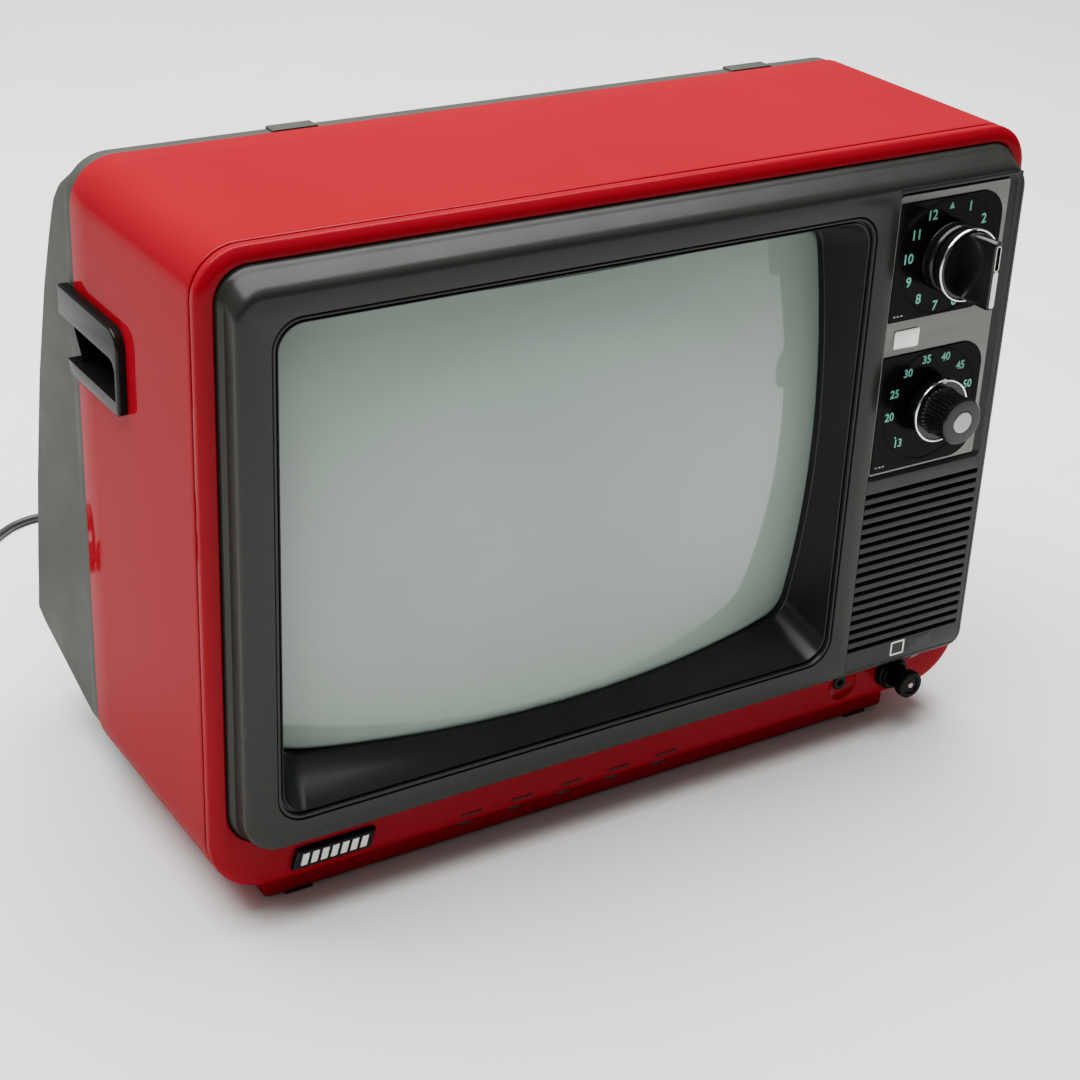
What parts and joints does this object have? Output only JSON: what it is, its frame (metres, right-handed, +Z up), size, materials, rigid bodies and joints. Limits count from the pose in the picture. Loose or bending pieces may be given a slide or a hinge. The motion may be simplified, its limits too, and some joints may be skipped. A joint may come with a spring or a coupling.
{
  "type": "tube television",
  "caption": "Portable colour television with a red moulded cabinet, grey bezel, picture tube, two channel knobs, slotted speaker grille and hand grips.",
  "frame": {"origin": "on the surface the set stands on, under the middle of its box without the mains lead", "axes": "+X to the viewer's right, +Y from the screen to the back, +Z up"},
  "size_m": [0.5365, 0.4912, 0.325],
  "materials": {
    "red_plastic": "glossy",
    "dark_plastic": "satin, fine grain",
    "black_plastic": "satin",
    "surround_metal": "satin",
    "dial_black": "glossy",
    "bright_metal": "polished",
    "screen_glass": "polished",
    "funnel_glass": "matt graphite coat",
    "dark_steel": "blackened",
    "steel": "plain",
    "zinc_steel": "zinc plated",
    "ferrite": "sintered",
    "copper": "enamelled wire",
    "white_plastic": "satin",
    "circuit_board": "phenolic board",
    "red_rubber": "satin",
    "black_tape": "wound tape",
    "cone_paper": "pressed paper",
    "capacitor_sleeve": "shrink sleeve",
    "aluminium": "turned",
    "grey_plastic": "fine grain",
    "rubber": "matt",
    "cord_black": "satin",
    "tie_plastic": "paper covered wire",
    "brass": "nickel plated",
    "knob_black": "satin",
    "chrome": "polished"
  },
  "bodies": {
    "chassis": {"front_cabinet": "red_plastic", "bezel": "dark_plastic", "screen_mask": "black_plastic", "control_panel": "dark_plastic", "dial_surround": "surround_metal", "vhf_dial_plate": "dial_black", "uhf_dial_plate": "dial_black", "badge_plates": "bright_metal", "left_grip": "dark_plastic", "right_grip": "dark_plastic", "tube_faceplate": "screen_glass", "tube_funnel": "funnel_glass", "shadow_mask": "dark_steel", "electron_gun": "steel", "tube_rimband": "zinc_steel", "tube_screws": "zinc_steel", "yoke_core": "ferrite", "yoke_coils": "copper", "neck_magnets": "white_plastic", "tube_socket_board": "circuit_board", "anode_lead": "red_rubber", "degauss_coil": "black_tape", "vhf_tuner": "zinc_steel", "uhf_tuner": "zinc_steel", "speaker_frame": "steel", "speaker_cone": "cone_paper", "volume_collar": "black_plastic", "volume_pot": "zinc_steel", "earphone_jack": "black_plastic", "preset_board": "circuit_board", "main_board": "circuit_board", "flyback_transformer": "black_plastic", "filter_capacitors": "capacitor_sleeve", "heat_sink": "aluminium", "rear_cover": "grey_plastic", "rear_screws": "zinc_steel", "antenna_terminals": "black_plastic", "feet": "rubber", "cord_bushing": "cord_black", "power_cord": "cord_black", "cord_coil": "cord_black", "cord_tie": "tie_plastic", "plug_body": "cord_black", "plug_blades": "brass"},
    "vhf_selector": {"vhf_shaft": "steel", "vhf_knob": "knob_black", "vhf_knob_ring": "chrome"},
    "vhf_fine_tuning": {"vhf_fine_ring": "knob_black"},
    "uhf_tuning": {"uhf_shaft": "steel", "uhf_knob": "knob_black", "uhf_knob_ring": "chrome", "uhf_knob_cap": "aluminium"},
    "power_switch": {"volume_plunger": "steel"},
    "volume": {"volume_knob": "knob_black"},
    "preset_1": {"preset_wheel_1": "knob_black"},
    "preset_2": {"preset_wheel_2": "knob_black"},
    "preset_3": {"preset_wheel_3": "knob_black"},
    "preset_4": {"preset_wheel_4": "knob_black"},
    "preset_5": {"preset_wheel_5": "knob_black"}
  },
  "joints": [
    {"name": "vhf_selector_turn", "type": "hinge", "parent": "chassis", "child": "vhf_selector", "pos_m": [0.1635, -0.179, 0.2702], "axis": [0, -1, 0], "continuous": true},
    {"name": "vhf_fine_turn", "type": "hinge", "parent": "chassis", "child": "vhf_fine_tuning", "pos_m": [0.1635, -0.169, 0.2702], "axis": [0, -1, 0], "continuous": true},
    {"name": "uhf_tuning_turn", "type": "hinge", "parent": "chassis", "child": "uhf_tuning", "pos_m": [0.1635, -0.176, 0.1926], "axis": [0, -1, 0], "range_deg": [-143, 137]},
    {"name": "power_pull", "type": "slide", "parent": "chassis", "child": "power_switch", "axis": [0, -1, 0], "range_m": [0, 0.005]},
    {"name": "volume_turn", "type": "hinge", "parent": "power_switch", "child": "volume", "pos_m": [0.173, -0.164, 0.0303], "axis": [0, -1, 0], "range_deg": [-150, 150]},
    {"name": "preset_1_turn", "type": "hinge", "parent": "chassis", "child": "preset_1", "pos_m": [-0.085, -0.1365, 0.0135], "axis": [0, 0, 1], "range_deg": [-130, 130]},
    {"name": "preset_2_turn", "type": "hinge", "parent": "chassis", "child": "preset_2", "pos_m": [-0.0565, -0.1365, 0.0135], "axis": [0, 0, 1], "range_deg": [-130, 130]},
    {"name": "preset_3_turn", "type": "hinge", "parent": "chassis", "child": "preset_3", "pos_m": [-0.028, -0.1365, 0.0135], "axis": [0, 0, 1], "range_deg": [-130, 130]},
    {"name": "preset_4_turn", "type": "hinge", "parent": "chassis", "child": "preset_4", "pos_m": [0.0005, -0.1365, 0.0135], "axis": [0, 0, 1], "range_deg": [-130, 130]},
    {"name": "preset_5_turn", "type": "hinge", "parent": "chassis", "child": "preset_5", "pos_m": [0.029, -0.1365, 0.0135], "axis": [0, 0, 1], "range_deg": [-130, 130]}
  ]
}
